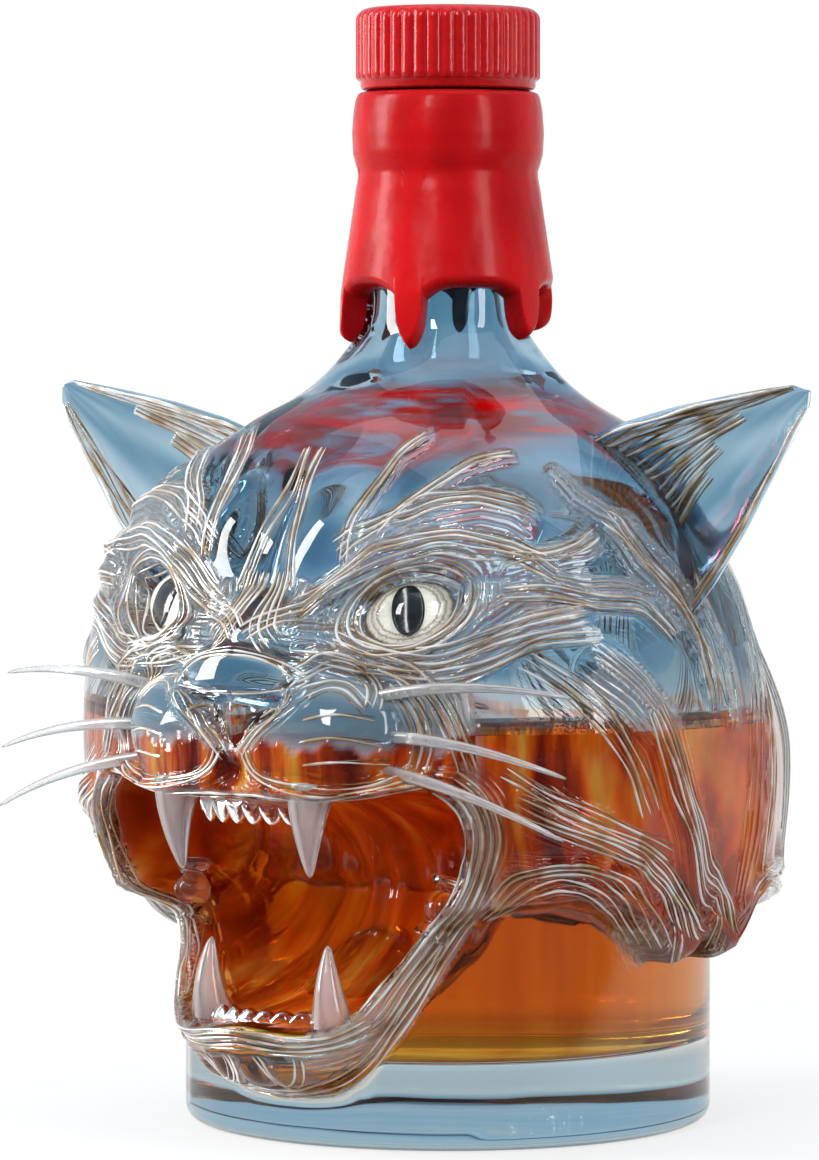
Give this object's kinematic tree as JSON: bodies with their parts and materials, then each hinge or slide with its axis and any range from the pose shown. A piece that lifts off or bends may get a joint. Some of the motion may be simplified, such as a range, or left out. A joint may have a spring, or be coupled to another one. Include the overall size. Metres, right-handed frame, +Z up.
{
  "type": "figural liquor decanter",
  "caption": "Clear glass liquor decanter shaped as a snarling wild cat's head on a round drum, with a wax-dipped neck and a ribbed stopper on a cork shank.",
  "frame": {"origin": "centre of the drum's flat underside, on the table", "axes": "+Z up along the neck; the cat looks along -Y; +X is the cat's left"},
  "size_m": [0.174, 0.136, 0.2105],
  "materials": {
    "clear_glass": "polished",
    "pupil_black": "polished",
    "red_wax": "glossy",
    "stopper_red": "glossy",
    "cork": "matte",
    "liquor": "clear liquid"
  },
  "bodies": {
    "bottle": {"glass_vessel": "clear_glass", "left_ear": "clear_glass", "right_ear": "clear_glass", "left_eye": "clear_glass", "right_eye": "clear_glass", "left_pupil": "pupil_black", "right_pupil": "pupil_black", "left_upper_whisker": "clear_glass", "left_middle_whisker": "clear_glass", "left_lower_whisker": "clear_glass", "right_upper_whisker": "clear_glass", "right_middle_whisker": "clear_glass", "right_lower_whisker": "clear_glass", "upper_left_fang": "clear_glass", "upper_right_fang": "clear_glass", "lower_left_fang": "clear_glass", "lower_right_fang": "clear_glass", "upper_incisors": "clear_glass", "lower_incisors": "clear_glass", "left_cheek_teeth": "clear_glass", "right_cheek_teeth": "clear_glass", "tongue": "clear_glass", "wax_sleeve": "red_wax", "liquor_fill": "liquor"},
    "stopper": {"stopper_head": "stopper_red", "cork": "cork"}
  },
  "joints": [
    {"name": "stopper_lift", "type": "slide", "parent": "bottle", "child": "stopper", "axis": [0, 0, 1], "range_m": [0, 0.05]}
  ]
}
